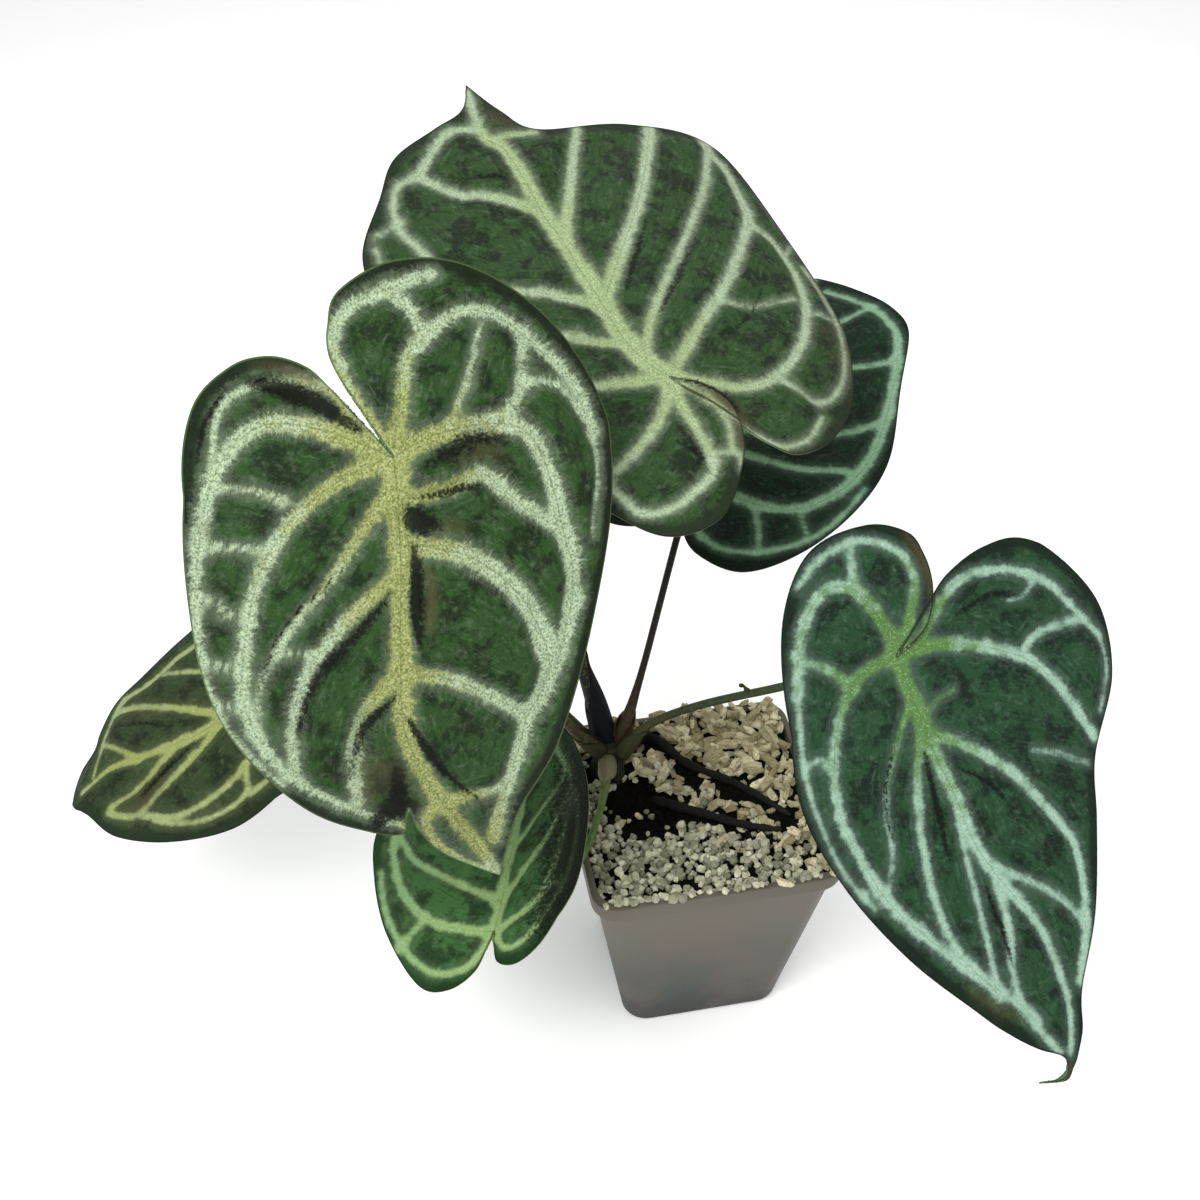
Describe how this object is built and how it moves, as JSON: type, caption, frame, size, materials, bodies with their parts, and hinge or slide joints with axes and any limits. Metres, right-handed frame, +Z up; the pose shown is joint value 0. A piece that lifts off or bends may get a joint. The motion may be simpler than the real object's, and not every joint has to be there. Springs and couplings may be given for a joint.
{
  "type": "potted dorayaki anthurium",
  "caption": "Small aroid house plant with heart-shaped, pale-veined leaves on thin stalks, in a square nursery pot of bark and pumice mix.",
  "frame": {"origin": "centre of the pot's flat base", "axes": "+Z up out of the pot, +X and +Y along the pot's sides; the picture looks along +Y, turned 11 degrees towards +X and tilted down"},
  "size_m": [0.3607, 0.296, 0.3125],
  "materials": {
    "pot": "matte grey-taupe moulded plastic",
    "substrate": "loose pale bark chips and grey pumice",
    "stem": "dull dark olive stem and sheaths",
    "root": "dark dry root",
    "stalk": "satin olive leaf stalk",
    "dark_stalk": "satin dark brown leaf stalk",
    "leaf_a": "satin green leaf with silvery veins",
    "leaf_b": "satin green leaf with silvery veins",
    "leaf_c": "satin blue-green leaf with pale veins",
    "leaf_d": "satin dark green leaf with pale veins",
    "leaf_e": "satin olive leaf with pale veins",
    "leaf_f": "satin bright green leaf with pale veins"
  },
  "bodies": {
    "root": {"pot": "pot", "substrate": "substrate", "stem": "stem", "aerial_root_long": "root", "aerial_root_short": "root", "stalk_a": "stalk", "stalk_b": "dark_stalk", "stalk_c": "dark_stalk", "stalk_d": "stalk", "stalk_e": "stalk", "stalk_f": "stalk", "blade_a": "leaf_a", "blade_b": "leaf_b", "blade_c": "leaf_c", "blade_d": "leaf_d", "blade_e": "leaf_e", "blade_f": "leaf_f"}
  },
  "joints": []
}
